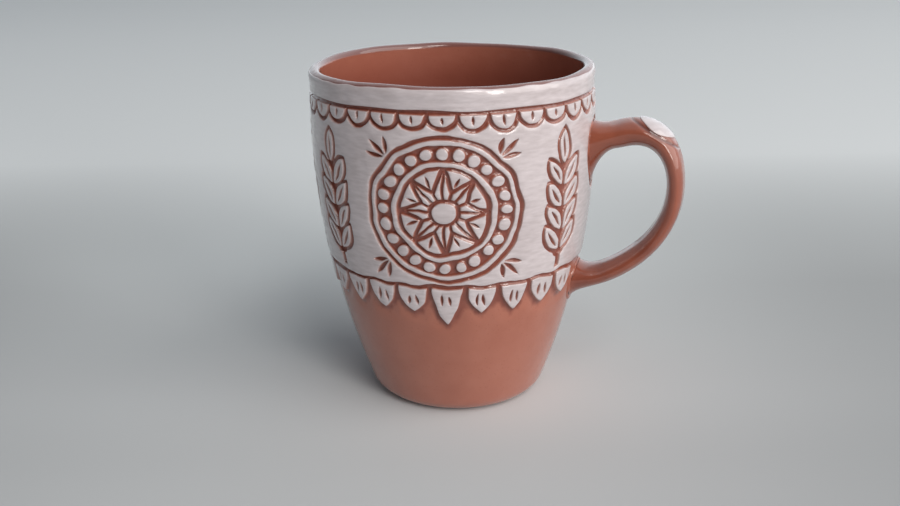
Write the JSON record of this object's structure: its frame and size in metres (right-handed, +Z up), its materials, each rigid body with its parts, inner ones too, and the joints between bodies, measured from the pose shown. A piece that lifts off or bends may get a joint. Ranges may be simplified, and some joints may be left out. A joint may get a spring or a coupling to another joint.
{
  "type": "clay mug",
  "caption": "Tall tapered red clay drinking mug with a strap handle, its upper wall coated with white slip carved into medallions, ears of wheat and borders.",
  "frame": {"origin": "centre of the flat foot, on the surface the mug stands on", "axes": "+Z up along the axis of the cup, +X towards the handle"},
  "size_m": [0.1154, 0.088, 0.106],
  "materials": {
    "red_clay": "red earthenware under a clear gloss glaze",
    "joining_slip": "red slip under a clear gloss glaze",
    "white_slip": "white slip under a clear gloss glaze"
  },
  "bodies": {
    "root": {"cup_body": "red_clay", "handle": "red_clay", "upper_joint": "joining_slip", "lower_joint": "joining_slip", "lip_band": "white_slip", "border_arches": "white_slip", "slip_ground": "white_slip", "medallion_rings": "white_slip", "medallion_beads": "white_slip", "star_valleys": "white_slip", "star_points": "white_slip", "star_bosses": "white_slip", "wheat_grains": "white_slip", "hem_points": "white_slip", "handle_slip": "white_slip"}
  },
  "joints": []
}
